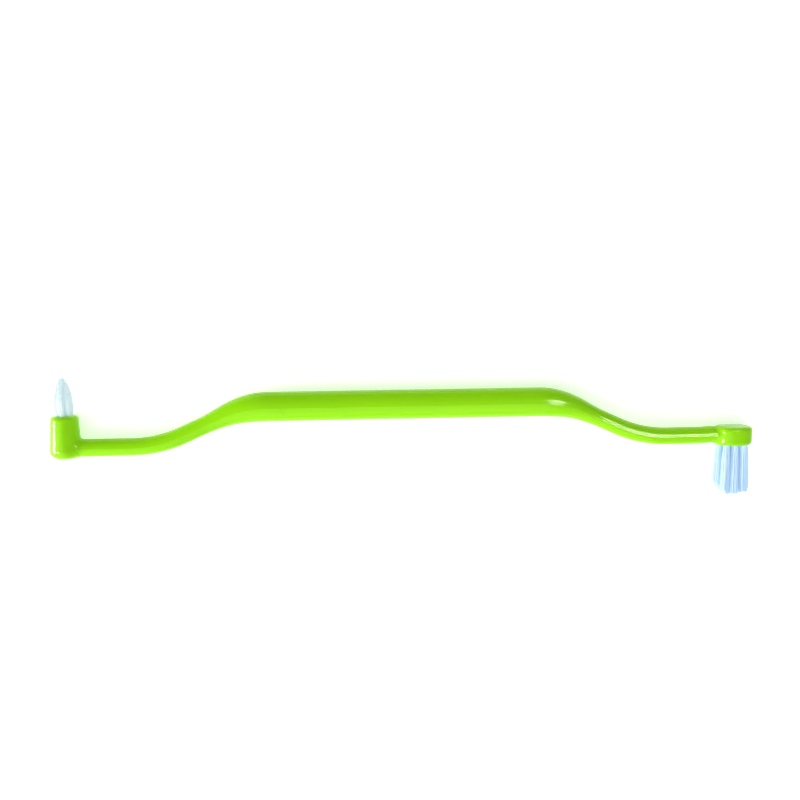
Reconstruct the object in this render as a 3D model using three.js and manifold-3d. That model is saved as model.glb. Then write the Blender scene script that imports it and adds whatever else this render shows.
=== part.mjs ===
// A double-ended pet toothbrush, lying on its side.
// One moulded handle carries a small barrel with a pointed brush at its left end (tip towards +Y) and a
// micro head with a trimmed brush at its right end (tips towards -Y). Every tuft of nylon filaments is
// folded over a flat metal anchor that is driven into a blind hole and bites into the hole's walls.
// Units are millimetres. +X runs from the pointed brush to the head, +Z is up from the table.
import * as THREE from "three";
import { mergeVertices } from "three/addons/utils/BufferGeometryUtils.js";
import Module from "manifold-3d";

const wasm = await Module();
wasm.setup();

// Handle: a straight grip, a ramp down at each end, and a thin stalk to each brush.
const GRIP_HEIGHT = 7.0; // across the grip, in the plane of the bends
const GRIP_DEPTH = 6.6; // across the grip, square to that plane
const STALK_DIAMETER = 4.2;
const GRIP_STRAIGHT = 63.4;
const RAMP_ANGLE = THREE.MathUtils.degToRad(24.3);
const RAMP_STRAIGHT = 9.6;
const UPPER_BEND_RADIUS = 26;
const LOWER_BEND_RADIUS = 29;
const TAPER_START = 32.5; // distance from the grip's middle, along the centre line
const TAPER_END = 48;
const HANDLE_SIDES = 24;
const RINGS_PER_BEND = 8;
const RINGS_PER_STRAIGHT = 3;
const FOOT_ROUND_STEPS = 5;
const EDGE_ROUND_STEPS = 3;

// Barrel of the pointed brush.
const BARREL_X = -78.1; // at the foot
const BARREL_BASE_RADIUS = 3.45;
const BARREL_RIM_RADIUS = 2.95;
const BARREL_RIM_Y = -1.2;
const BARREL_PROUD = 0.3; // the foot stands out below the stalk
const BARREL_FOOT_ROUND = 2.1;
const BARREL_RIM_ROUND = 0.9;
const BARREL_LEAN = 0.02; // the barrel and its brush lean towards the grip by this much of their height

// Micro head.
const HEAD_X = 79.4;
const HEAD_LENGTH = 8.8;
const HEAD_WIDTH = 6.6;
const HEAD_THICKNESS = 4.5;
const HEAD_BACK_PROUD = 0.05; // the back is all but level with the top of the stalk
const HEAD_SQUARENESS = 2.5; // exponent of the superellipse that outlines the head
const HEAD_EDGE_ROUND = 0.9;

// Pointed brush: one tuft in the middle of a ring of six.
const POINT_RING_COUNT = 6;
const POINT_RING_RADIUS = 1.4;
const POINT_HOLE_RADIUS = 0.56;
const POINT_HOLE_DEPTH = 3.2;
const POINT_LENGTH = 8.85; // free length from the rim to the apex
const POINT_TAPER_LENGTH = 4.6;
const POINT_TAPER_POWER = 0.6;
const POINT_TRIM_RADIUS = 2.05;

// Head brush: staggered rows of three, four and three tufts.
const HEAD_TUFT_PITCH = 2.1;
const HEAD_ROW_SPACING = 1.85;
const HEAD_FIELD_SHIFT = -0.1; // of the middle of the field from the middle of the head
const HEAD_HOLE_RADIUS = 0.78;
const HEAD_HOLE_DEPTH = 3.0;
const HEAD_TIP_Y = -22.7;
const HEAD_FLARE = 0.1; // share by which the bristle field widens from the head's face to the tips
const HEEL_SLANT_START = -2.1; // from the head's middle, where the heel's slanted trim begins
const HEEL_SLANT = 1.22; // shortening for each millimetre towards the heel
const TOE_SLANT_START = 0.6;
const TOE_SLANT = 0.23;

// Anchors and clearances.
const ANCHOR_HEIGHT = 1.3;
const ANCHOR_THICKNESS = 0.25;
const ANCHOR_BITE = 0.15; // how far an anchor enters the plastic on each side of its hole
const ANCHOR_ROOT = 0.45; // fold of filaments between an anchor and the bottom of its hole
const CLEARANCE = 0.05;
const TUFT_SIDES = 12;
const TRIM_STEPS = 8;
const MERGE_DISTANCE = 1e-4; // vertices closer than this are one
const CUT_MARGIN = 1; // how far a cutter runs past the face that it opens

const HALF_DEPTH = GRIP_DEPTH / 2; // height of the mid-plane above the table
const RAMP_DROP =
  (UPPER_BEND_RADIUS + LOWER_BEND_RADIUS) * (1 - Math.cos(RAMP_ANGLE)) +
  RAMP_STRAIGHT * Math.sin(RAMP_ANGLE);
const STALK_Y = -RAMP_DROP;
const BARREL_FOOT_Y = STALK_Y - STALK_DIAMETER / 2 - BARREL_PROUD;
const HEAD_BACK_Y = STALK_Y + STALK_DIAMETER / 2 + HEAD_BACK_PROUD;
const HEAD_FACE_Y = HEAD_BACK_Y - HEAD_THICKNESS;

const plastic = new THREE.MeshStandardMaterial({ color: 0x93dc1a, roughness: 0.22, metalness: 0 });
const clearNylon = new THREE.MeshStandardMaterial({ color: 0xe2f7fa, roughness: 0.4, metalness: 0 });
const blueNylon = new THREE.MeshStandardMaterial({ color: 0xcbe6fc, roughness: 0.4, metalness: 0 });
const anchorMetal = new THREE.MeshStandardMaterial({ color: 0xc8a85c, roughness: 0.35, metalness: 1 });

// A closed three.js geometry as a manifold solid, for cutting and joining.
function solidOf(geometry) {
  const bare = geometry.clone();
  bare.deleteAttribute("normal");
  bare.deleteAttribute("uv");
  const merged = mergeVertices(bare, MERGE_DISTANCE);
  return new wasm.Manifold(
    new wasm.Mesh({
      numProp: 3,
      vertProperties: merged.attributes.position.array,
      triVerts: new Uint32Array(merged.index.array),
    }),
  );
}

function geometryOf(solid) {
  const mesh = solid.getMesh();
  const geometry = new THREE.BufferGeometry();
  geometry.setAttribute("position", new THREE.BufferAttribute(mesh.vertProperties, 3));
  geometry.setIndex(new THREE.BufferAttribute(mesh.triVerts, 1));
  geometry.computeVertexNormals();
  return geometry;
}

function meshOf(name, solid, material) {
  const mesh = new THREE.Mesh(geometryOf(solid), material.clone());
  mesh.name = name;
  return mesh;
}

// A turned solid about the Y axis, moved to (x, z). The profile is a list of [radius, y], from one end
// to the other.
function turned(profile, sides, x, z) {
  const points = profile.map(([radius, y]) => new THREE.Vector2(radius, y));
  return new THREE.LatheGeometry(points, sides).translate(x, 0, z);
}

function box(width, height, depth, x, y, z) {
  return new THREE.BoxGeometry(width, height, depth).translate(x, y, z);
}

// Points of a quarter circle from one angle to another, for rounding a profile.
function arcPoints(centerRadius, centerY, radius, fromDegrees, toDegrees, steps) {
  return Array.from({ length: steps + 1 }, (_, i) => {
    const angle = THREE.MathUtils.degToRad(fromDegrees + ((toDegrees - fromDegrees) * i) / steps);
    return [centerRadius + radius * Math.cos(angle), centerY + radius * Math.sin(angle)];
  });
}

// The centre line: stretches of constant curvature, from the barrel's axis to the head's middle.
const halfRun =
  GRIP_STRAIGHT / 2 +
  (UPPER_BEND_RADIUS + LOWER_BEND_RADIUS) * Math.sin(RAMP_ANGLE) +
  RAMP_STRAIGHT * Math.cos(RAMP_ANGLE);
const lowerBend = LOWER_BEND_RADIUS * RAMP_ANGLE;
const upperBend = UPPER_BEND_RADIUS * RAMP_ANGLE;
const route = [
  { length: -halfRun - BARREL_X, turn: 0 },
  { length: lowerBend, turn: RAMP_ANGLE },
  { length: RAMP_STRAIGHT, turn: 0 },
  { length: upperBend, turn: -RAMP_ANGLE },
  { length: GRIP_STRAIGHT, turn: 0 },
  { length: upperBend, turn: -RAMP_ANGLE },
  { length: RAMP_STRAIGHT, turn: 0 },
  { length: lowerBend, turn: RAMP_ANGLE },
  { length: HEAD_X - halfRun, turn: 0 },
];

// Stations along the centre line, each with its point and its direction.
function stationsAlong(stretches) {
  let [x, y, heading, distance] = [BARREL_X, STALK_Y, 0, 0];
  const stations = [{ x, y, heading, distance }];
  for (const { length, turn } of stretches) {
    const steps = turn === 0 ? RINGS_PER_STRAIGHT : RINGS_PER_BEND;
    const chord = turn === 0 ? length / steps : (2 * length * Math.sin(turn / steps / 2)) / turn;
    for (let i = 0; i < steps; i += 1) {
      const chordHeading = heading + turn / steps / 2;
      x += chord * Math.cos(chordHeading);
      y += chord * Math.sin(chordHeading);
      heading += turn / steps;
      distance += length / steps;
      stations.push({ x, y, heading, distance });
    }
  }
  return stations;
}

// The bar is turned straight at unit radius, then every ring is moved to its station and sized.
function handleBar() {
  const stations = stationsAlong(route);
  const last = stations.length - 1;
  const gripMiddle = route.slice(0, 4).reduce((sum, stretch) => sum + stretch.length, GRIP_STRAIGHT / 2);
  const profile = [[0, 0], ...stations.map((_, i) => [1, i]), [0, last]];
  const bar = turned(profile, HANDLE_SIDES, 0, 0);
  const position = bar.attributes.position;
  for (let i = 0; i < position.count; i += 1) {
    const station = stations[Math.round(position.getY(i))];
    const taper = THREE.MathUtils.smoothstep(
      Math.abs(station.distance - gripMiddle),
      TAPER_START,
      TAPER_END,
    );
    const height = THREE.MathUtils.lerp(GRIP_HEIGHT, STALK_DIAMETER, taper) / 2;
    const depth = THREE.MathUtils.lerp(GRIP_DEPTH, STALK_DIAMETER, taper) / 2;
    const across = -position.getX(i) * height;
    position.setXYZ(
      i,
      station.x - across * Math.sin(station.heading),
      station.y + across * Math.cos(station.heading),
      HALF_DEPTH + position.getZ(i) * depth,
    );
  }
  return bar;
}

function barrel() {
  const profile = [
    [0, BARREL_FOOT_Y],
    ...arcPoints(
      BARREL_BASE_RADIUS - BARREL_FOOT_ROUND,
      BARREL_FOOT_Y + BARREL_FOOT_ROUND,
      BARREL_FOOT_ROUND,
      -90,
      0,
      FOOT_ROUND_STEPS,
    ),
    ...arcPoints(
      BARREL_RIM_RADIUS - BARREL_RIM_ROUND,
      BARREL_RIM_Y - BARREL_RIM_ROUND,
      BARREL_RIM_ROUND,
      0,
      90,
      EDGE_ROUND_STEPS,
    ),
    [0, BARREL_RIM_Y],
  ];
  return turned(profile, HANDLE_SIDES, BARREL_X, HALF_DEPTH);
}

// The head is a superellipse, extruded through its thickness with rounded edges.
function headPad() {
  const half = (size) => size / 2 - HEAD_EDGE_ROUND;
  const bend = (value) => Math.sign(value) * Math.abs(value) ** (2 / HEAD_SQUARENESS);
  const outline = new THREE.Shape(
    Array.from({ length: HANDLE_SIDES }, (_, i) => {
      const angle = (2 * Math.PI * i) / HANDLE_SIDES;
      return new THREE.Vector2(
        half(HEAD_LENGTH) * bend(Math.cos(angle)),
        half(HEAD_WIDTH) * bend(Math.sin(angle)),
      );
    }),
  );
  const pad = new THREE.ExtrudeGeometry(outline, {
    depth: HEAD_THICKNESS - 2 * HEAD_EDGE_ROUND,
    bevelThickness: HEAD_EDGE_ROUND,
    bevelSize: HEAD_EDGE_ROUND,
    bevelSegments: EDGE_ROUND_STEPS,
    steps: 1,
  });
  return pad.rotateX(-Math.PI / 2).translate(HEAD_X, HEAD_FACE_Y + HEAD_EDGE_ROUND, HALF_DEPTH);
}

// A blind hole and the pocket that its anchor cuts in the walls. side is +1 where the mouth faces +Y.
function holeCutter(hole) {
  const { x, z, radius, mouthY, depth, side } = hole;
  const ends = [mouthY - side * depth, mouthY + side * CUT_MARGIN].sort((a, b) => a - b);
  const bore = turned([[0, ends[0]], [radius, ends[0]], [radius, ends[1]], [0, ends[1]]], TUFT_SIDES, x, z);
  return solidOf(bore).add(solidOf(anchorBox(hole, CLEARANCE)));
}

function anchorBox(hole, grow) {
  const middleY = hole.mouthY - hole.side * (hole.depth - ANCHOR_ROOT - ANCHOR_HEIGHT / 2);
  return box(
    2 * (hole.radius + ANCHOR_BITE + grow),
    ANCHOR_HEIGHT + 2 * grow,
    ANCHOR_THICKNESS + 2 * grow,
    hole.x,
    middleY,
    hole.z,
  );
}

// A straight tuft from the bottom of its hole to tipY, with the slot that its anchor fills.
function tuftGeometry(hole, tipY) {
  const radius = hole.radius - CLEARANCE;
  const rootY = hole.mouthY - hole.side * (hole.depth - CLEARANCE);
  const levels = [rootY, hole.mouthY, tipY].sort((a, b) => a - b);
  const profile = [[0, levels[0]], ...levels.map((y) => [radius, y]), [0, levels[2]]];
  return turned(profile, TUFT_SIDES, hole.x, hole.z);
}

function slotted(tuft, hole) {
  return tuft.subtract(solidOf(anchorBox(hole, CLEARANCE)));
}

// The pointed brush is trimmed to a body of revolution that narrows to an apex.
function pointTrim() {
  const apexY = BARREL_RIM_Y + POINT_LENGTH;
  const taper = Array.from({ length: TRIM_STEPS + 1 }, (_, i) => {
    const share = ((TRIM_STEPS - i) / TRIM_STEPS) ** 2;
    return [POINT_TRIM_RADIUS * share ** POINT_TAPER_POWER, apexY - POINT_TAPER_LENGTH * share];
  });
  const rootY = BARREL_RIM_Y - POINT_HOLE_DEPTH - CUT_MARGIN;
  const profile = [[0, rootY], [POINT_TRIM_RADIUS, rootY], ...taper.slice(0, -1), [0, apexY]];
  return solidOf(turned(profile, HANDLE_SIDES, BARREL_X, HALF_DEPTH));
}

// The head brush is trimmed level, with a steep slant at the heel and a slight one at the toe.
function headTrim() {
  const reach = HEAD_LENGTH;
  const rootY = HEAD_FACE_Y + HEAD_HOLE_DEPTH + CUT_MARGIN;
  const outline = new THREE.Shape([
    new THREE.Vector2(-reach, rootY),
    new THREE.Vector2(-reach, HEAD_TIP_Y + HEEL_SLANT * (reach + HEEL_SLANT_START)),
    new THREE.Vector2(HEEL_SLANT_START, HEAD_TIP_Y),
    new THREE.Vector2(TOE_SLANT_START, HEAD_TIP_Y),
    new THREE.Vector2(reach, HEAD_TIP_Y + TOE_SLANT * (reach - TOE_SLANT_START)),
    new THREE.Vector2(reach, rootY),
  ]);
  const slab = new THREE.ExtrudeGeometry(outline, { depth: 2 * reach, bevelEnabled: false });
  return solidOf(slab.translate(HEAD_X, 0, HALF_DEPTH - reach));
}

// The bristle field widens evenly from the head's face down to the tips.
function flare(geometry) {
  const position = geometry.attributes.position;
  for (let i = 0; i < position.count; i += 1) {
    const free = Math.max(0, HEAD_FACE_Y - position.getY(i)) / (HEAD_FACE_Y - HEAD_TIP_Y);
    const scale = 1 + HEAD_FLARE * free;
    position.setX(i, HEAD_X + (position.getX(i) - HEAD_X) * scale);
    position.setZ(i, HALF_DEPTH + (position.getZ(i) - HALF_DEPTH) * scale);
  }
  return geometry;
}

function pointHole(name, x, z) {
  return {
    name,
    x: BARREL_X + x,
    z: HALF_DEPTH + z,
    radius: POINT_HOLE_RADIUS,
    depth: POINT_HOLE_DEPTH,
    mouthY: BARREL_RIM_Y,
    side: 1,
  };
}

function headHole(name, x, z) {
  return {
    name,
    x: HEAD_X + x,
    z: HALF_DEPTH + z,
    radius: HEAD_HOLE_RADIUS,
    depth: HEAD_HOLE_DEPTH,
    mouthY: HEAD_FACE_Y,
    side: -1,
  };
}

const pointHoles = [pointHole("middle", 0, 0)];
for (let i = 0; i < POINT_RING_COUNT; i += 1) {
  const angle = (2 * Math.PI * (i + 0.5)) / POINT_RING_COUNT;
  const [x, z] = [POINT_RING_RADIUS * Math.cos(angle), POINT_RING_RADIUS * Math.sin(angle)];
  pointHoles.push(pointHole(`ring_${i + 1}`, x, z));
}

const headRows = [
  { z: HEAD_ROW_SPACING, names: ["upper_heel", "upper_middle", "upper_toe"] },
  { z: 0, names: ["outer_heel", "inner_heel", "inner_toe", "outer_toe"] },
  { z: -HEAD_ROW_SPACING, names: ["lower_heel", "lower_middle", "lower_toe"] },
];
const headHoles = headRows.flatMap(({ z, names }) => {
  const firstX = HEAD_FIELD_SHIFT - (HEAD_TUFT_PITCH * (names.length - 1)) / 2;
  return names.map((name, i) => headHole(name, firstX + HEAD_TUFT_PITCH * i, z));
});

// Leans a solid of the pointed end about the barrel's foot.
function leaning(solid) {
  return solid.warp((vertex) => {
    vertex[0] += BARREL_LEAN * (vertex[1] - BARREL_FOOT_Y);
  });
}

function handleSolid() {
  const body = solidOf(handleBar()).add(leaning(solidOf(barrel()))).add(solidOf(headPad()));
  const cutters = [...pointHoles.map((hole) => leaning(holeCutter(hole))), ...headHoles.map(holeCutter)];
  return cutters.reduce((solid, cutter) => solid.subtract(cutter), body);
}

function pointBrush() {
  const group = new THREE.Group();
  const trim = pointTrim();
  for (const hole of pointHoles) {
    const tuft = solidOf(tuftGeometry(hole, BARREL_RIM_Y + POINT_LENGTH + CUT_MARGIN)).intersect(trim);
    group.add(meshOf(`point_tuft_${hole.name}`, leaning(slotted(tuft, hole)), clearNylon));
    group.add(meshOf(`point_anchor_${hole.name}`, leaning(solidOf(anchorBox(hole, 0))), anchorMetal));
  }
  return group;
}

function headBrush() {
  const group = new THREE.Group();
  const trim = headTrim();
  for (const hole of headHoles) {
    const tuft = solidOf(flare(tuftGeometry(hole, HEAD_TIP_Y - CUT_MARGIN))).intersect(trim);
    group.add(meshOf(`head_tuft_${hole.name}`, slotted(tuft, hole), blueNylon));
    group.add(meshOf(`head_anchor_${hole.name}`, solidOf(anchorBox(hole, 0)), anchorMetal));
  }
  return group;
}

const brush = new THREE.Group();
brush.add(meshOf("handle", handleSolid(), plastic));
brush.add(pointBrush());
brush.add(headBrush());

// The origin is the middle of the whole brush's footprint, on the table.
const bounds = new THREE.Box3().setFromObject(brush);
brush.position.set(-(bounds.min.x + bounds.max.x) / 2, -(bounds.min.y + bounds.max.y) / 2, -bounds.min.z);

export default brush;
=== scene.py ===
"""A double-ended pet toothbrush lying on a pale table: the looks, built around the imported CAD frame.

The handle is one smooth moulding whose surface is found from its distance field. Each tuft is a bundle of
nylon strands, folded over the CAD anchor that holds it. Lengths are in millimetres up to the calls that make
meshes, lamps and the camera, which take metres.
"""

import math

import bmesh
import bpy
import numpy as np
from mathutils import Matrix, Vector


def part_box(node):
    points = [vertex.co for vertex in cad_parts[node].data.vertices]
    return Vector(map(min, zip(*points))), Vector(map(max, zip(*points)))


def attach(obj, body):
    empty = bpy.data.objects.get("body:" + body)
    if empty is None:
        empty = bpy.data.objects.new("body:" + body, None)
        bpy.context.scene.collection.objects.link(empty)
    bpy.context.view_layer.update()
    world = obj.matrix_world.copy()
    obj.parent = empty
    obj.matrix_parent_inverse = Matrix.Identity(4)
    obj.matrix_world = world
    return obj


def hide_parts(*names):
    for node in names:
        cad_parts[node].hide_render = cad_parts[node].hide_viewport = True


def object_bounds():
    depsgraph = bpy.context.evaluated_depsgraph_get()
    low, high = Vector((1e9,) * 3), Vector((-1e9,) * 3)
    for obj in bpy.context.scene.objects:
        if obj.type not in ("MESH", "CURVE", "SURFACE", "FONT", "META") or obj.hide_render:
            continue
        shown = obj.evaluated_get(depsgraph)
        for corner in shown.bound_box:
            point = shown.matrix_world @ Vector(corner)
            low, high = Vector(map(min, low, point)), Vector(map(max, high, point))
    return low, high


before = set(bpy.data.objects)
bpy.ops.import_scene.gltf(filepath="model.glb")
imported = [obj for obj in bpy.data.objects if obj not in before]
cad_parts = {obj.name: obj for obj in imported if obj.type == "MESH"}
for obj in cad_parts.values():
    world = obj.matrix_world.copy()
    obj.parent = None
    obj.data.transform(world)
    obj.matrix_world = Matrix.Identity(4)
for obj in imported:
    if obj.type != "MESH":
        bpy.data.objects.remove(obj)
cad_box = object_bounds()

MM = 0.001
TINY = 1e-9  # keeps divisors and roots above zero
LEAST_SLOPE = 1e-6  # keeps the ellipse fields finite on their own axes

# Handle, along its centre line.
GRIP_HEIGHT = 7.0
GRIP_DEPTH = 6.6
STALK_DIAMETER = 4.2
GRIP_STRAIGHT = 63.4
HEAD_FIELD_SHIFT = -0.1  # of the middle of the head's tufts from the middle of the head
GRIP_TO_HEAD = 79.4  # from the grip's middle to the head's
RAMP_ANGLE = math.radians(24.3)
RAMP_STRAIGHT = 9.6
UPPER_BEND_RADIUS = 26.0
LOWER_BEND_RADIUS = 29.0
TAPER_START = 32.5
TAPER_END = 48.0
DRAFT = 0.05  # share of the half height by which each mould half's ellipse is set back at the parting line
PARTING_RIDGE = 0.03
PARTING_WIDTH = 0.09
RIDGE_START, RIDGE_FULL = 0.5, 1.5  # the ridge rises over this distance from the middle plane
NECK_RISE = 0.17  # the stalk lifts a little just before the head
NECK_BEFORE_HEAD = 5.6
NECK_LENGTH = 1.6
GATE_S = -28.4  # gate mark, from the grip's middle
GATE_N = -1.1
GATE_HALF_LENGTH = 0.2
GATE_HALF_HEIGHT = 0.38
GATE_PROUD = 0.09

# Barrel and head.
BARREL_BASE_RADIUS = 3.45
BARREL_RIM_RADIUS = 2.95
BARREL_FOOT_ROUND = 2.1
BARREL_PROUD = 0.3  # the foot stands out below the stalk
BARREL_RIM_ROUND = 0.9
BARREL_FILLET = 0.8
BARREL_LEAN = 0.02  # the barrel and its brush lean towards the grip by this much of their height
HEAD_HALF_LENGTH = 4.4
HEAD_HALF_WIDTH = 3.3
HEAD_THICKNESS = 4.5
HEAD_BACK_PROUD = 0.05  # the back is all but level with the top of the stalk
HEAD_SQUARENESS = 2.5
HEAD_EDGE_ROUND = 0.9
HEAD_FILLET = 0.6
HOLE_ROUND = 0.12
HOLE_REACH = 6  # all holes are this near to the ends of the centre line

# Grid of the handle's surface. A reach is how far the cells of one size go from the middle of a feature.
FINE_STEP = 0.15
BEND_STEP = 0.6
STRAIGHT_STEP = 1.2
GATE_STEP = 0.1
RIDGE_STEP = 0.05
BARREL_REACH_OUT, BARREL_REACH_IN = 3.8, 5.0
HEAD_REACH_OUT, HEAD_REACH_IN = 4.8, 7.5
STRAIGHT_REACH = 31
GATE_REACH = 0.6
RIDGE_REACH = 0.24
BAR_REACH = 3.75
GRID_ABOVE_RIM = 0.3

# Pointed brush.
POINT_HOLE_RADIUS = 0.56
POINT_HOLE_DEPTH = 3.2
POINT_LENGTH = 9.05
POINT_TRIM_RADIUS = 2.22
POINT_TRIM_POWER = 3.6  # the trimmed outline is a blunt ogive
POINT_SPREAD = 0.55  # share by which each tuft widens above the rim
POINT_SPLAY = 0.15  # share by which the ring of tufts opens out above the rim
POINT_OPENING = 1.6  # height over which both happen
POINT_BOW = 0.22  # sideways set of the whole brush, away from the grip
POINT_LEAN = 0.22  # share by which the tips lean in
POINT_STRANDS, POINT_STRAND_RADIUS = 22, 0.073
POINT_SEED = 100

# Head brush.
HEAD_HOLE_RADIUS = 0.78
HEAD_HOLE_DEPTH = 3.0
HEAD_SPREAD = 0.32  # share by which each tuft widens below the face
HEAD_OPENING = 3.5  # length over which it widens
HEAD_FLARE = 0.1  # share by which the whole field of tufts widens to its tips
HEAD_STRANDS_PROUD = 0.35  # the longest strands stand past the plain CAD tufts
HEEL_SLANT_START = -2.1
HEEL_SLANT = 1.22
TOE_SLANT_START = 0.6
TOE_SLANT = 0.23
HEAD_STRANDS, HEAD_STRAND_RADIUS = 26, 0.09
HEAD_SEED = 200

# Strands and anchors.
ANCHOR_HEIGHT = 1.3
ANCHOR_ROOT = 0.45  # fold of strands between an anchor and the bottom of its hole
BESIDE_ANCHOR = 0.21  # a strand's axis beside the anchor, from the anchor's middle plane
HOLE_CLEARANCE = 0.02
FOLD_STEPS = 6
INNER_FOLD, OUTER_FOLD_MORE = 0.12, 0.24  # depths of the folds
STRAND_SIDES = 6
GOLDEN_ANGLE = math.pi * (3 - math.sqrt(5))
STRAND_JITTER = 0.012
STRAND_LEAN = 0.006
STRAND_CURL = 0.06
TRIM_ROUGHNESS = 0.07
TIP_SHARE = 0.45  # of the strand's radius, at its tip
LEG_SHARES = (0.0, 0.12, 0.3, 0.5, 0.7, 0.86, 0.975, 1.0)  # rings along a strand's free leg
TRIM_SEARCH_STEPS = 20

# Camera, aimed at a point of the grip's axis.
SENSOR = 36.0
LENS = 38.25
CAMERA_DISTANCE = 198.9
CAMERA_YAW = math.radians(3.7)
CAMERA_PITCH = math.radians(8.42)
CAMERA_ROLL = math.radians(-0.46)
AIM_LEFT_OF_GRIP = 1.03
AIM_UP = 1.01
CLIP_START, CLIP_END = 0.005, 100  # metres

# Studio.
TABLE_GLOW = 0.46  # the table is a lit panel, so shadows on it are faint
WORLD_FRONT, WORLD_BACK = 0.72, 0.3  # the room is darker behind the brush's upper edge
TABLE_HALF_WIDTH = 30.0  # metres, so that its edge is far away
TABLE_GAP = 0.00002  # metres between the table and the part
SOFTBOX_COLOUR = (1.0, 0.91, 0.9)

# Noise nearly always stays between these two values.
NOISE_LOW, NOISE_HIGH = 0.3, 0.7


def middle(node):
    """The middle of a CAD node's box, in millimetres."""
    low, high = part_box(node)
    return (low + high) / 2 / MM


handle_low, handle_high = (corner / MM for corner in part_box("handle"))
mid_z = (handle_low.z + handle_high.z) / 2
foot_y = handle_low.y
stalk_y = foot_y + BARREL_PROUD + STALK_DIAMETER / 2
back_y = stalk_y + STALK_DIAMETER / 2 + HEAD_BACK_PROUD
face_y = back_y - HEAD_THICKNESS
tip_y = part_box("head_tuft_inner_heel")[0].y / MM - HEAD_STRANDS_PROUD
barrel_anchor = middle("point_anchor_middle")
rim_y = barrel_anchor.y + POINT_HOLE_DEPTH - ANCHOR_ROOT - ANCHOR_HEIGHT / 2
barrel_x = barrel_anchor.x - BARREL_LEAN * (barrel_anchor.y - foot_y)
head_x = (middle("head_anchor_outer_heel").x + middle("head_anchor_outer_toe").x) / 2 - HEAD_FIELD_SHIFT
grip_x = head_x - GRIP_TO_HEAD


# ---------------------------------------------------------------- the handle's distance field
# The fields take s along the centre line, n square to it in the brush's own plane and z from that plane. They
# are below zero inside the plastic.

half_run = (
    GRIP_STRAIGHT / 2
    + (UPPER_BEND_RADIUS + LOWER_BEND_RADIUS) * math.sin(RAMP_ANGLE)
    + RAMP_STRAIGHT * math.cos(RAMP_ANGLE)
)
lower_bend = LOWER_BEND_RADIUS * RAMP_ANGLE
upper_bend = UPPER_BEND_RADIUS * RAMP_ANGLE
route = [
    (grip_x - half_run - barrel_x, 0.0),
    (lower_bend, RAMP_ANGLE),
    (RAMP_STRAIGHT, 0.0),
    (upper_bend, -RAMP_ANGLE),
    (GRIP_STRAIGHT, 0.0),
    (upper_bend, -RAMP_ANGLE),
    (RAMP_STRAIGHT, 0.0),
    (lower_bend, RAMP_ANGLE),
    (head_x - grip_x - half_run, 0.0),
]
route_length = sum(length for length, _ in route)
grip_middle = sum(length for length, _ in route[:4]) + GRIP_STRAIGHT / 2


def on_centre_line(distance):
    """Points and headings of the centre line; beyond its ends it runs on straight."""
    x = barrel_x + np.minimum(distance, 0.0)
    y = np.full_like(distance, stalk_y)
    heading = np.zeros_like(distance)
    start = 0.0
    for length, turn in route:
        run = np.clip(distance - start, 0.0, length)
        bend = turn * run / length
        chord = run * np.sinc(bend / 2 / math.pi)
        x = x + chord * np.cos(heading + bend / 2)
        y = y + chord * np.sin(heading + bend / 2)
        heading = heading + bend
        start += length
    return x + np.maximum(distance - route_length, 0.0), y, heading


def smooth_step(value, low, high):
    """Rises from 0 at low to 1 at high, level at both ends."""
    share = np.clip((value - low) / (high - low), 0.0, 1.0)
    return share * share * (3 - 2 * share)


def round_union(a, b, radius):
    """Two shapes joined, with a fillet where they meet."""
    corner = np.hypot(np.maximum(radius - a, 0), np.maximum(radius - b, 0))
    return np.maximum(radius, np.minimum(a, b)) - corner


def round_intersection(a, b, radius):
    """What two shapes share, with a rounded edge where they cross."""
    corner = np.hypot(np.maximum(radius + a, 0), np.maximum(radius + b, 0))
    return np.minimum(-radius, np.maximum(a, b)) + corner


def bar_field(s, n, z):
    """The swept bar: two half ellipses that meet at a faint ridge along the parting line."""
    taper = smooth_step(np.abs(s - grip_middle), TAPER_START, TAPER_END)
    n = n - NECK_RISE * np.exp(-(((s - route_length + NECK_BEFORE_HEAD) / NECK_LENGTH) ** 2))
    height = (GRIP_HEIGHT + (STALK_DIAMETER - GRIP_HEIGHT) * taper) / 2
    depth = (GRIP_DEPTH + (STALK_DIAMETER - GRIP_DEPTH) * taper) / 2
    back = DRAFT * height
    tall = height + back
    wide = depth / np.sqrt(1 - (back / tall) ** 2)
    u = (np.abs(n) + back) / tall
    w = z / wide
    k = np.sqrt(u * u + w * w)
    slope = np.sqrt((u / tall) ** 2 + (w / wide) ** 2)
    field = k * (k - 1) / np.maximum(slope, LEAST_SLOPE)
    rise = smooth_step(np.abs(z), RIDGE_START, RIDGE_FULL)
    ridge = PARTING_RIDGE * np.exp(-((n / PARTING_WIDTH) ** 2)) * rise
    field = field + PARTING_RIDGE - ridge
    from_gate = np.hypot((s - grip_middle - GATE_S) / GATE_HALF_LENGTH, (n - GATE_N) / GATE_HALF_HEIGHT)
    field = field - GATE_PROUD * np.exp(-(from_gate**2)) * (z > 0)
    past_end = np.maximum(-s, s - route_length)
    return np.where(past_end > 0, np.hypot(np.maximum(field + height, 0), past_end) - height, field)


def barrel_field(s, n, z):
    """The leaning barrel: straight and rounded at the foot, then tapering to a rounded rim."""
    y = n + stalk_y
    radius = np.hypot(s - BARREL_LEAN * (y - foot_y), z)
    height = rim_y - foot_y
    taper = (BARREL_BASE_RADIUS - BARREL_RIM_RADIUS) / height
    narrowing = taper * np.maximum(y - foot_y - BARREL_FOOT_ROUND, 0)
    side = (radius - BARREL_BASE_RADIUS + narrowing) / math.hypot(1, taper)
    body = round_intersection(side, foot_y - y, BARREL_FOOT_ROUND)
    return round_intersection(body, y - rim_y, BARREL_RIM_ROUND)


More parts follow.
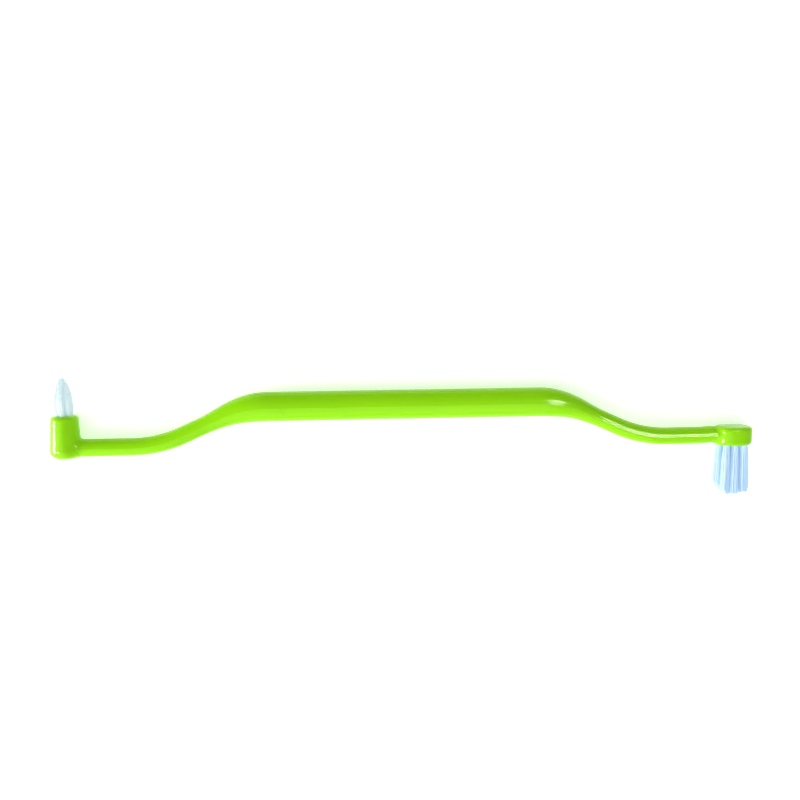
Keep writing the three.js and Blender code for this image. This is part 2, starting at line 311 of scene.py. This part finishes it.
def head_field(s, n, z):
    """The head: a superellipse pad with rounded edges."""
    x = s - route_length
    p = HEAD_SQUARENESS
    u, w = np.abs(x) / HEAD_HALF_LENGTH, np.abs(z) / HEAD_HALF_WIDTH
    k = np.maximum(u**p + w**p, TINY) ** (1 / p)
    slope = np.hypot(u ** (p - 1) / HEAD_HALF_LENGTH, w ** (p - 1) / HEAD_HALF_WIDTH) / k ** (p - 1)
    side = (k - 1) / np.maximum(slope, LEAST_SLOPE)
    level = n + stalk_y - (back_y + face_y) / 2
    return round_intersection(side, np.abs(level) - HEAD_THICKNESS / 2, HEAD_EDGE_ROUND)


def hole_field(s, n, z, tuft):
    """One blind hole, below zero inside it."""
    along = (tuft["mouth_y"] - n - stalk_y) * tuft["side"]
    if tuft["side"] > 0:
        x = s + barrel_x - BARREL_LEAN * (n + stalk_y - foot_y)
    else:
        x = s - route_length + head_x
    away = np.hypot(x - tuft["x"], z + mid_z - tuft["z"])
    return np.maximum(away - tuft["radius"], along - tuft["depth"])


def handle_field(s, n, z):
    """The whole moulding, with the holes for the tufts taken out."""
    field = round_union(bar_field(s, n, z), barrel_field(s, n, z), BARREL_FILLET)
    field = round_union(field, head_field(s, n, z), HEAD_FILLET)
    for tuft in point_tufts + head_tufts:
        near = s < HOLE_REACH if tuft["side"] > 0 else s > route_length - HOLE_REACH
        drilled = round_intersection(field, -hole_field(s, n, z, tuft), HOLE_ROUND)
        field = np.where(near, drilled, field)
    return field


def tuft_at(node, side):
    """Where a tuft's hole is, from the CAD anchor at its bottom. Side is 1 where the tuft points along +y.

    In the leaning barrel, x is where the hole's axis would meet the foot.
    """
    anchor = middle(node.replace("tuft", "anchor"))
    point = side > 0
    return {
        "node": node,
        "side": side,
        "x": anchor.x - (BARREL_LEAN * (anchor.y - foot_y) if point else 0),
        "z": anchor.z,
        "mouth_y": rim_y if point else face_y,
        "radius": POINT_HOLE_RADIUS if point else HEAD_HOLE_RADIUS,
        "depth": POINT_HOLE_DEPTH if point else HEAD_HOLE_DEPTH,
    }


point_tufts = [tuft_at(name, 1) for name in sorted(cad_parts) if name.startswith("point_tuft")]
head_tufts = [tuft_at(name, -1) for name in sorted(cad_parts) if name.startswith("head_tuft")]


def stepped(stops):
    """Grid lines from a list of (start, step) pairs, the last of which only ends the run."""
    lines = []
    for (start, step), (end, _) in zip(stops, stops[1:]):
        count = max(1, round((end - start) / step))
        lines.extend(start + (end - start) * i / count for i in range(count))
    return np.array(lines + [stops[-1][0]])


def surface_net(field, lines):
    """The zero surface of a field on a grid with uneven lines: a vertex in each crossed cell, and quads."""
    grid = np.meshgrid(*lines, indexing="ij")
    value = field(*grid)
    inside = value < 0
    shape = tuple(len(line) - 1 for line in lines)
    corners = [(i, j, k) for i in (0, 1) for j in (0, 1) for k in (0, 1)]

    def cut(array, corner):
        return array[tuple(slice(c, c + m) for c, m in zip(corner, shape))]

    count = sum(cut(inside, corner).astype(np.int8) for corner in corners)
    active = (count > 0) & (count < 8)
    cells = np.argwhere(active)
    index = np.full(shape, -1, np.int64)
    index[active] = np.arange(len(cells))
    place = np.zeros((len(cells), 3))
    hits = np.zeros(len(cells))
    for axis in range(3):
        for corner in corners:
            if corner[axis]:
                continue
            other = tuple(c + (a == axis) for a, c in enumerate(corner))
            va = cut(value, corner)[active]
            vb = cut(value, other)[active]
            crossed = (va < 0) != (vb < 0)
            share = np.where(crossed, va / np.where(crossed, va - vb, 1), 0)
            for a in range(3):
                low = lines[a][cells[:, a] + corner[a]]
                high = lines[a][cells[:, a] + other[a]]
                place[:, a] += np.where(crossed, low + (high - low) * share, 0)
            hits += crossed
    place /= hits[:, None]
    quads = []
    for axis in range(3):
        b, c = (axis + 1) % 3, (axis + 2) % 3
        low = [slice(None)] * 3
        high = [slice(None)] * 3
        low[axis], high[axis] = slice(0, -1), slice(1, None)
        change = inside[tuple(low)] != inside[tuple(high)]
        edges = np.argwhere(change)
        past_low = (edges[:, b] > 0) & (edges[:, c] > 0)
        before_high = (edges[:, b] < shape[b]) & (edges[:, c] < shape[c])
        edges = edges[past_low & before_high]
        leaving = inside[tuple(edges.T)]
        ring = []
        for db, dc in ((-1, -1), (0, -1), (0, 0), (-1, 0)):
            cell = edges.copy()
            cell[:, b] += db
            cell[:, c] += dc
            ring.append(index[tuple(cell.T)])
        ring = np.stack(ring, 1)
        quads.append(np.where(leaving[:, None], ring, ring[:, ::-1]))
    return place, np.concatenate(quads)


def settle(field, place, passes=5, probe=0.01, longest=0.08, least_square=0.05):
    """Moves points onto the field's zero surface, down its slope."""
    for _ in range(passes):
        value = field(*place.T)
        slopes = []
        for step in probe * np.eye(3):
            slopes.append((field(*(place + step).T) - field(*(place - step).T)) / (2 * probe))
        slope = np.stack(slopes, 1)
        move = -value[:, None] * slope / np.maximum((slope**2).sum(1), least_square)[:, None]
        size = np.linalg.norm(move, axis=1, keepdims=True)
        place = place + move * np.minimum(1, longest / np.maximum(size, TINY))
    return place


def new_piece(name, vertices, faces, material):
    """A smooth-shaded mesh from an array of vertices in millimetres and a list of faces."""
    mesh = bpy.data.meshes.new(name)
    mesh.from_pydata((vertices * MM).tolist(), [], faces)
    mesh.validate()
    mesh.shade_smooth()
    piece = bpy.data.objects.new(name, mesh)
    bpy.context.scene.collection.objects.link(piece)
    mesh.materials.append(material)
    return piece


def handle_piece(material):
    """The moulding's mesh, found along the straightened centre line and then bent with it."""
    s_lines = stepped(
        [
            (-BARREL_REACH_OUT, FINE_STEP),
            (BARREL_REACH_IN, BEND_STEP),
            (grip_middle - STRAIGHT_REACH, STRAIGHT_STEP),
            (grip_middle + GATE_S - GATE_REACH, GATE_STEP),
            (grip_middle + GATE_S + GATE_REACH, STRAIGHT_STEP),
            (grip_middle + STRAIGHT_REACH, BEND_STEP),
            (route_length - HEAD_REACH_IN, FINE_STEP),
            (route_length + HEAD_REACH_OUT, 0),
        ]
    )
    n_lines = stepped(
        [
            (-BAR_REACH, FINE_STEP),
            (-RIDGE_REACH, RIDGE_STEP),
            (RIDGE_REACH, FINE_STEP),
            (rim_y - stalk_y + GRID_ABOVE_RIM, 0),
        ]
    )
    z_lines = stepped([(-BAR_REACH, FINE_STEP), (BAR_REACH, 0)])
    place, quads = surface_net(handle_field, (s_lines, n_lines, z_lines))
    place = settle(handle_field, place)
    x, y, heading = on_centre_line(place[:, 0])
    n = place[:, 1]
    vertices = np.stack([x - n * np.sin(heading), y + n * np.cos(heading), place[:, 2] + mid_z], 1)
    piece = new_piece("handle_moulding", vertices, quads.tolist(), material)
    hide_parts("handle")
    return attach(piece, "root")


# ---------------------------------------------------------------- tufts

def packed_disc(count, radius, rng):
    """Up to count points spread evenly over the half disc z > 0, a little out of true."""
    turn = np.arange(2 * count)
    away = radius * np.sqrt((turn + 0.5) / (2 * count))
    points = np.stack([away * np.cos(turn * GOLDEN_ANGLE), away * np.sin(turn * GOLDEN_ANGLE)], 1)
    points = points[points[:, 1] > 0][:count]
    return points + rng.normal(0, STRAND_JITTER, points.shape)


def tube(path, radii):
    """The vertices and faces of a tube around a path, closed by a flat cap at both ends."""
    path = np.asarray(path)
    tangent = np.gradient(path, axis=0)
    tangent /= np.linalg.norm(tangent, axis=1, keepdims=True)
    across = np.array([1.0, 0.0, 0.0])
    normal = np.cross(tangent, across)
    normal /= np.linalg.norm(normal, axis=1, keepdims=True)
    binormal = np.cross(normal, tangent)
    angles = 2 * math.pi * np.arange(STRAND_SIDES) / STRAND_SIDES
    ring = np.cos(angles)[None, :, None] * binormal[:, None] + np.sin(angles)[None, :, None] * normal[:, None]
    rings = path[:, None] + ring * np.asarray(radii)[:, None, None]
    faces = []
    last = len(path) - 1
    for i in range(last):
        for j in range(STRAND_SIDES):
            k = (j + 1) % STRAND_SIDES
            a, b = i * STRAND_SIDES, (i + 1) * STRAND_SIDES
            faces.append((a + j, a + k, b + k, b + j))
    faces.append(tuple(range(STRAND_SIDES))[::-1])
    faces.append(tuple(last * STRAND_SIDES + j for j in range(STRAND_SIDES)))
    return rings.reshape(-1, 3), faces


def point_shape(x, z, rise, tuft):
    """Where a strand of the pointed brush is at a height above the rim.

    The tufts widen and open out just above the rim, which closes the gaps, and then lean in.
    """
    share = rise / POINT_LENGTH
    opening = smooth_step(rise, 0.0, POINT_OPENING)
    x = x * (1 + POINT_SPREAD * opening)
    z = z * (1 + POINT_SPREAD * opening)
    splay = 1 + POINT_SPLAY * opening
    bow = POINT_BOW * opening
    lean = 1 - POINT_LEAN * share**3
    cx, cz = tuft["x"] - barrel_x, tuft["z"] - mid_z
    return (cx * splay + x) * lean + barrel_x - bow, (cz * splay + z) * lean + mid_z


def head_shape(x, z, rise, tuft):
    """Where a strand of the head brush is at a distance from the head's face."""
    flare = 1 + HEAD_FLARE * rise / (face_y - tip_y)
    widening = 1 + HEAD_SPREAD * smooth_step(rise, 0.0, HEAD_OPENING)
    cx, cz = tuft["x"] - head_x, tuft["z"] - mid_z
    return (cx + x * widening) * flare + head_x, (cz + z * widening) * flare + mid_z


def point_trim(rise, x, z):
    """Above zero where the trimmed ogive has cut a strand away."""
    limit = POINT_TRIM_RADIUS * max(0.0, 1 - (rise / POINT_LENGTH) ** POINT_TRIM_POWER)
    return math.hypot(x - barrel_x + POINT_BOW, z - mid_z) - limit


def head_trim(rise, x, _):
    """Above zero where the flat trim, slanted at heel and toe, has cut a strand away."""
    away = x - head_x
    heel = HEEL_SLANT * max(0.0, HEEL_SLANT_START - away)
    toe = TOE_SLANT * max(0.0, away - TOE_SLANT_START)
    return rise - (face_y - tip_y - heel - toe)


def free_leg(tuft, x, z, shape, trim, rng):
    """The part of a strand's leg outside its hole, from the mouth to the trimmed tip, as points."""
    drawn = rng.normal(0, 1, 4)
    lean_x, lean_z = drawn[:2] * STRAND_LEAN
    curl_x, curl_z = drawn[2:] * STRAND_CURL
    longest = POINT_LENGTH if tuft["side"] > 0 else face_y - tip_y

    def place(rise):
        px, pz = shape(x, z, rise, tuft)
        bow = (rise / longest) ** 2
        return px + lean_x * rise + curl_x * bow, pz + lean_z * rise + curl_z * bow

    low, high = 0.0, longest
    for _ in range(TRIM_SEARCH_STEPS):
        half = (low + high) / 2
        low, high = (low, half) if trim(half, *place(half)) > 0 else (half, high)
    end = low - abs(rng.normal(0, TRIM_ROUGHNESS))
    points = []
    for share in LEG_SHARES:
        px, pz = place(end * share)
        points.append((px, tuft["mouth_y"] + tuft["side"] * end * share, pz))
    return points


def tuft_piece(tuft, shape, trim, count, radius, seed, material):
    """A bundle of strands, each folded once round the flat anchor in the bottom of the hole."""
    rng = np.random.default_rng(seed)
    side = tuft["side"]
    root_y = tuft["mouth_y"] - side * (tuft["depth"] - ANCHOR_ROOT)
    hole = tuft["radius"] - radius - HOLE_CLEARANCE
    vertices, faces = [], []
    offset = 0
    for x, z in packed_disc(count, hole, rng):
        out = BESIDE_ANCHOR + abs(z) * (hole - BESIDE_ANCHOR) / hole
        legs = []
        for sign in (1, -1):
            leg_z = tuft["z"] + sign * out
            beside = [(tuft["x"] + x, root_y + side * rise, leg_z) for rise in (0, ANCHOR_HEIGHT)]
            legs.append(beside + free_leg(tuft, x, sign * abs(z), shape, trim, rng))
        deep = INNER_FOLD + OUTER_FOLD_MORE * out / hole
        fold = [
            (tuft["x"] + x, root_y - side * deep * math.sin(angle), tuft["z"] + out * math.cos(angle))
            for angle in (math.pi * k / FOLD_STEPS for k in range(1, FOLD_STEPS))
        ]
        path = legs[0][::-1] + fold + legs[1]
        radii = np.full(len(path), radius)
        radii[0] = radii[-1] = radius * TIP_SHARE
        tube_vertices, tube_faces = tube(path, radii)
        vertices.append(tube_vertices)
        faces.extend(tuple(offset + i for i in face) for face in tube_faces)
        offset += len(tube_vertices)
    vertices = np.concatenate(vertices)
    if side > 0:
        vertices[:, 0] += BARREL_LEAN * (vertices[:, 1] - foot_y)
    piece = new_piece(tuft["node"] + "_strands", vertices, faces, material)
    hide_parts(tuft["node"])
    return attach(piece, "root")


# ---------------------------------------------------------------- materials

def new_material(name):
    """A material that holds one Principled shader, and what is needed to add nodes to it."""
    material = bpy.data.materials.new(name)
    material.use_nodes = True
    nodes = material.node_tree.nodes
    nodes.clear()
    shader = nodes.new("ShaderNodeBsdfPrincipled")
    output = nodes.new("ShaderNodeOutputMaterial")
    material.node_tree.links.new(shader.outputs[0], output.inputs[0])
    return material, nodes, material.node_tree.links, shader


def noise(nodes, links, scale, stretch, detail, roughness):
    """Noise over the object's own coordinates, in features per metre, stretched by a factor on each axis."""
    coordinates = nodes.new("ShaderNodeTexCoord")
    mapping = nodes.new("ShaderNodeMapping")
    mapping.inputs["Scale"].default_value = stretch
    texture = nodes.new("ShaderNodeTexNoise")
    texture.inputs["Scale"].default_value = scale
    texture.inputs["Detail"].default_value = detail
    texture.inputs["Roughness"].default_value = roughness
    links.new(coordinates.outputs["Object"], mapping.inputs["Vector"])
    links.new(mapping.outputs[0], texture.inputs["Vector"])
    return texture.outputs["Fac"]


def ramp(nodes, links, source, stops):
    """A colour that follows the noise through (value, colour) stops."""
    node = nodes.new("ShaderNodeValToRGB")
    elements = node.color_ramp.elements
    while len(elements) < len(stops):
        elements.new(0.5)
    for element, (position, colour) in zip(elements, stops):
        element.position = position
        element.color = (*colour, 1.0)
    links.new(source, node.inputs[0])
    return node.outputs["Color"]


def between(nodes, links, source, low, high):
    """A number that follows the noise between two limits."""
    node = nodes.new("ShaderNodeMapRange")
    node.inputs["From Min"].default_value = NOISE_LOW
    node.inputs["From Max"].default_value = NOISE_HIGH
    node.inputs["To Min"].default_value = low
    node.inputs["To Max"].default_value = high
    links.new(source, node.inputs["Value"])
    return node.outputs["Result"]


def bump(nodes, links, source, distance, strength, below=None):
    """A normal that follows the noise, with a height in metres, over another normal if one is given."""
    node = nodes.new("ShaderNodeBump")
    node.inputs["Strength"].default_value = strength
    node.inputs["Distance"].default_value = distance
    links.new(source, node.inputs["Height"])
    if below is not None:
        links.new(below, node.inputs["Normal"])
    return node.outputs["Normal"]


def lime_plastic():
    """Glossy, slightly waxy plastic with flow marks, smears, a soft ripple and fine scuffs."""
    material, nodes, links, shader = new_material("lime_gloss_plastic")
    flow = noise(nodes, links, 60, (0.35, 1.6, 1.6), 4.0, 0.6)
    stops = [(NOISE_LOW, (0.285, 0.775, 0.002)), (NOISE_HIGH, (0.325, 0.825, 0.003))]
    colour = ramp(nodes, links, flow, stops)
    links.new(colour, shader.inputs["Base Color"])
    smear = noise(nodes, links, 140, (0.5, 1.0, 1.0), 5.0, 0.65)
    links.new(between(nodes, links, smear, 0.07, 0.13), shader.inputs["Roughness"])
    ripple = noise(nodes, links, 220, (0.4, 1.0, 1.0), 2.0, 0.4)
    scuffs = noise(nodes, links, 2600, (0.12, 1.0, 1.0), 3.0, 0.7)
    normal = bump(nodes, links, ripple, 0.00008, 0.35)
    normal = bump(nodes, links, scuffs, 0.00001, 0.25, normal)
    links.new(normal, shader.inputs["Normal"])
    shader.inputs["IOR"].default_value = 1.5
    shader.inputs["Specular IOR Level"].default_value = 0.28
    shader.inputs["Specular Tint"].default_value = (0.92, 1.0, 0.62, 1.0)
    shader.inputs["Subsurface Weight"].default_value = 0.12
    shader.inputs["Subsurface Radius"].default_value = (0.6, 1.0, 0.15)
    shader.inputs["Subsurface Scale"].default_value = 0.0008
    return material


def nylon(name, pale, deep, glow):
    """Drawn nylon, streaked along the strands. Its glow stands in for the light that clear strands carry."""
    material, nodes, links, shader = new_material(name)
    streaks = noise(nodes, links, 3200, (1.0, 0.03, 1.0), 2.0, 0.5)
    links.new(ramp(nodes, links, streaks, [(0.35, deep), (0.62, pale)]), shader.inputs["Base Color"])
    drag = noise(nodes, links, 5000, (1.0, 0.2, 1.0), 2.0, 0.5)
    links.new(between(nodes, links, drag, 0.26, 0.42), shader.inputs["Roughness"])
    links.new(bump(nodes, links, drag, 0.000008, 0.3), shader.inputs["Normal"])
    shader.inputs["IOR"].default_value = 1.53
    shader.inputs["Emission Color"].default_value = (*pale, 1.0)
    shader.inputs["Emission Strength"].default_value = glow
    shader.inputs["Subsurface Weight"].default_value = 0.5
    shader.inputs["Subsurface Radius"].default_value = (0.8, 0.9, 1.0)
    shader.inputs["Subsurface Scale"].default_value = 0.0004
    return material


def anchor_brass():
    """Rolled, slightly tarnished brass."""
    material, nodes, links, shader = new_material("anchor_brass")
    tarnish = noise(nodes, links, 2500, (1.0, 1.0, 1.0), 4.0, 0.6)
    colour = ramp(nodes, links, tarnish, [(0.35, (0.45, 0.32, 0.12)), (0.65, (0.68, 0.52, 0.24))])
    links.new(colour, shader.inputs["Base Color"])
    rolled = noise(nodes, links, 6000, (0.1, 1.0, 1.0), 2.0, 0.5)
    links.new(between(nodes, links, rolled, 0.25, 0.45), shader.inputs["Roughness"])
    links.new(bump(nodes, links, rolled, 0.000006, 0.4), shader.inputs["Normal"])
    shader.inputs["Metallic"].default_value = 1.0
    return material


def table_material():
    material, nodes, links, shader = new_material("pale_table")
    grain = noise(nodes, links, 30, (1.0, 1.0, 1.0), 3.0, 0.5)
    colour = ramp(nodes, links, grain, [(NOISE_LOW, (0.93, 0.93, 0.93)), (NOISE_HIGH, (0.95, 0.95, 0.95))])
    links.new(colour, shader.inputs["Base Color"])
    shader.inputs["Roughness"].default_value = 0.75
    shader.inputs["Specular IOR Level"].default_value = 0.2
    shader.inputs["Emission Color"].default_value = (1.0, 1.0, 1.0, 1.0)
    shader.inputs["Emission Strength"].default_value = TABLE_GLOW
    return material


# ---------------------------------------------------------------- stage

def build_floor():
    mesh = bpy.data.meshes.new("table")
    form = bmesh.new()
    bmesh.ops.create_grid(form, x_segments=8, y_segments=8, size=TABLE_HALF_WIDTH)
    form.to_mesh(mesh)
    form.free()
    floor = bpy.data.objects.new("table", mesh)
    floor.location.z = cad_box[0][2] - TABLE_GAP
    mesh.materials.append(table_material())
    bpy.context.scene.collection.objects.link(floor)


def build_camera():
    """A camera high above the table, turned, tilted and rolled a little."""
    yaw, pitch, roll = CAMERA_YAW, CAMERA_PITCH, CAMERA_ROLL
    forward = Vector((math.sin(yaw) * math.cos(pitch), -math.sin(pitch), -math.cos(yaw) * math.cos(pitch)))
    right = Vector((math.cos(yaw), 0.0, math.sin(yaw)))
    up = right.cross(forward)
    right, up = (
        math.cos(roll) * right + math.sin(roll) * up,
        math.cos(roll) * up - math.sin(roll) * right,
    )
    aim = Vector((grip_x - AIM_LEFT_OF_GRIP, handle_high.y - GRIP_HEIGHT / 2, mid_z))
    place = aim - forward * CAMERA_DISTANCE + up * AIM_UP
    data = bpy.data.cameras.new("camera")
    data.sensor_width = SENSOR
    data.lens = LENS
    data.clip_start = CLIP_START
    data.clip_end = CLIP_END
    camera = bpy.data.objects.new("camera", data)
    turn = Matrix((right, up, -forward)).transposed().to_4x4()
    camera.matrix_world = Matrix.Translation(place * MM) @ turn
    bpy.context.scene.collection.objects.link(camera)
    bpy.context.scene.camera = camera


def area_light(name, place, size, energy, colour=(1.0, 1.0, 1.0), side=(1.0, 0.0, 0.0)):
    """A rectangular lamp that faces the origin, with the first of its sizes along the side given."""
    data = bpy.data.lights.new(name, "AREA")
    data.shape = "RECTANGLE"
    data.size, data.size_y = size[0] * MM, size[1] * MM
    data.energy = energy
    data.color = colour
    light = bpy.data.objects.new(name, data)
    back = Vector(place).normalized()
    across = (Vector(side) - back * back.dot(Vector(side))).normalized()
    turn = Matrix((across, back.cross(across), back)).transposed().to_4x4()
    light.matrix_world = Matrix.Translation(Vector(place) * MM) @ turn
    bpy.context.scene.collection.objects.link(light)
    return light


def build_world():
    """White light from all round, which fades from the front to the back."""
    world = bpy.data.worlds.new("studio")
    world.use_nodes = True
    nodes, links = world.node_tree.nodes, world.node_tree.links
    direction = nodes.new("ShaderNodeTexCoord")
    axes = nodes.new("ShaderNodeSeparateXYZ")
    fade = nodes.new("ShaderNodeMapRange")
    fade.inputs["From Min"].default_value = -1.0
    fade.inputs["To Min"].default_value = WORLD_FRONT
    fade.inputs["To Max"].default_value = WORLD_BACK
    links.new(direction.outputs["Generated"], axes.inputs[0])
    links.new(axes.outputs["Y"], fade.inputs["Value"])
    links.new(fade.outputs["Result"], nodes["Background"].inputs["Strength"])
    nodes["Background"].inputs["Color"].default_value = (1.0, 1.0, 1.0, 1.0)
    bpy.context.scene.world = world


def build_lamps():
    along_y = (0.0, 1.0, 0.0)
    area_light("front_softbox", (-260, -420, 560), (1200, 900), 3.9, colour=SOFTBOX_COLOUR)
    area_light("left_lamp", (-550, -72, 150), (170, 200), 2.0, side=along_y)
    gloss_lamps = [
        area_light("long_tube", (305, 185, 560), (165, 14), 2.6),
        area_light("left_panel", (-556, -100, 150), (240, 160), 3.4, side=along_y),
        area_light("left_strip", (-320, -112, 310), (80, 160), 2.4, side=along_y),
    ]
    for lamp in gloss_lamps:
        lamp.visible_diffuse = False  # these only draw the bright lines of gloss


build_camera()
build_world()
build_lamps()
build_floor()
bpy.context.scene.view_settings.view_transform = "Standard"

plastic = lime_plastic()
clear_nylon = nylon("clear_nylon", pale=(0.80, 0.95, 0.98), deep=(0.66, 0.84, 0.88), glow=0.14)
blue_nylon = nylon("blue_nylon", pale=(0.52, 0.71, 0.89), deep=(0.47, 0.66, 0.85), glow=0.18)
brass = anchor_brass()

handle_piece(plastic)
for number, tuft in enumerate(point_tufts):
    seed = POINT_SEED + number
    tuft_piece(tuft, point_shape, point_trim, POINT_STRANDS, POINT_STRAND_RADIUS, seed, clear_nylon)
for number, tuft in enumerate(head_tufts):
    seed = HEAD_SEED + number
    tuft_piece(tuft, head_shape, head_trim, HEAD_STRANDS, HEAD_STRAND_RADIUS, seed, blue_nylon)
for name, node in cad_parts.items():
    if "anchor" in name:
        node.data.materials.clear()
        node.data.materials.append(brass)
